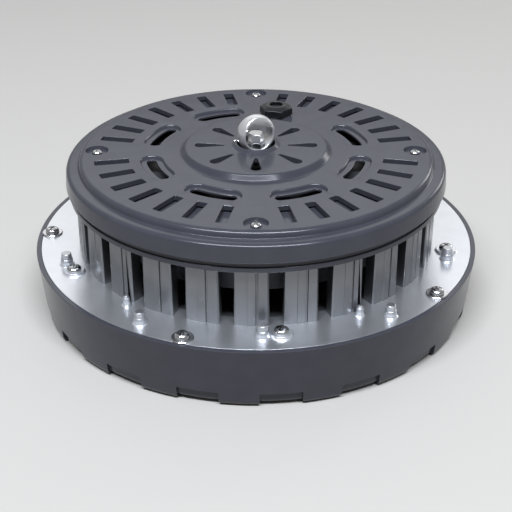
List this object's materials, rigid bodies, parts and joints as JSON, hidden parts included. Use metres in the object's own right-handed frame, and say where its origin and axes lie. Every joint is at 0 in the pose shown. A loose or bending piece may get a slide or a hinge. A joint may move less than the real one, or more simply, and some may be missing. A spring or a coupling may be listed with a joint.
{
  "type": "high bay light",
  "caption": "Round high bay light with a slotted dark cover, an open ring of silver heat-sink columns, a deep dark bezel with an opal lens, a hanging ring and a cable gland",
  "frame": {"origin": "the middle of the bezel's front face, on the surface that the light stands on, lens down", "axes": "+Z is the light's own axis and points up, from the lens towards the hanging ring; +X and +Y are level, and the picture looks along +Y from above"},
  "size_m": [0.32, 0.32, 0.1376],
  "materials": {
    "charcoal_paint": "satin powder coat over die-cast aluminium",
    "opal_lens": "opal diffusing plastic",
    "seal_rubber": "silicone rubber",
    "white_plastic": "moulded white plastic",
    "board_aluminium": "aluminium board with white solder mask",
    "led_yellow": "phosphor over small diodes",
    "screw_steel": "bright zinc-plated steel",
    "cast_aluminium": "bright die-cast aluminium",
    "lead_sheath": "lead insulation",
    "driver_paint": "dark painted sheet steel",
    "circuit_green": "glass-fibre circuit board",
    "coil_plastic": "taped winding on a ferrite core",
    "capacitor_can": "sleeved aluminium cans",
    "ring_chrome": "polished plated steel",
    "nut_steel": "dark plated steel",
    "gland_plastic": "black nylon"
  },
  "bodies": {
    "root": {"bezel_ring": "charcoal_paint", "front_lens": "opal_lens", "lens_gasket": "seal_rubber", "bezel_gasket": "seal_rubber", "reflector": "white_plastic", "led_board": "board_aluminium", "led_chips": "led_yellow", "board_terminal": "white_plastic", "board_screws": "screw_steel", "heat_sink": "cast_aluminium", "flange_washers": "screw_steel", "flange_screws": "screw_steel", "pad_screws": "screw_steel", "lead_grommet": "seal_rubber", "output_leads": "lead_sheath", "driver_tray": "driver_paint", "tray_screws": "screw_steel", "driver_circuit": "circuit_green", "driver_coil": "coil_plastic", "driver_capacitors": "capacitor_can", "driver_lid": "driver_paint", "lid_screws": "screw_steel", "mains_terminal": "white_plastic", "top_cover": "charcoal_paint", "vent_shield": "charcoal_paint", "cover_screws": "screw_steel", "hanging_ring": "ring_chrome", "ring_nut": "nut_steel", "ring_bolt": "screw_steel", "lock_screw": "screw_steel", "gland_body": "gland_plastic", "gland_seal": "seal_rubber", "gland_washer": "seal_rubber", "gland_locknut": "gland_plastic"}
  },
  "joints": []
}
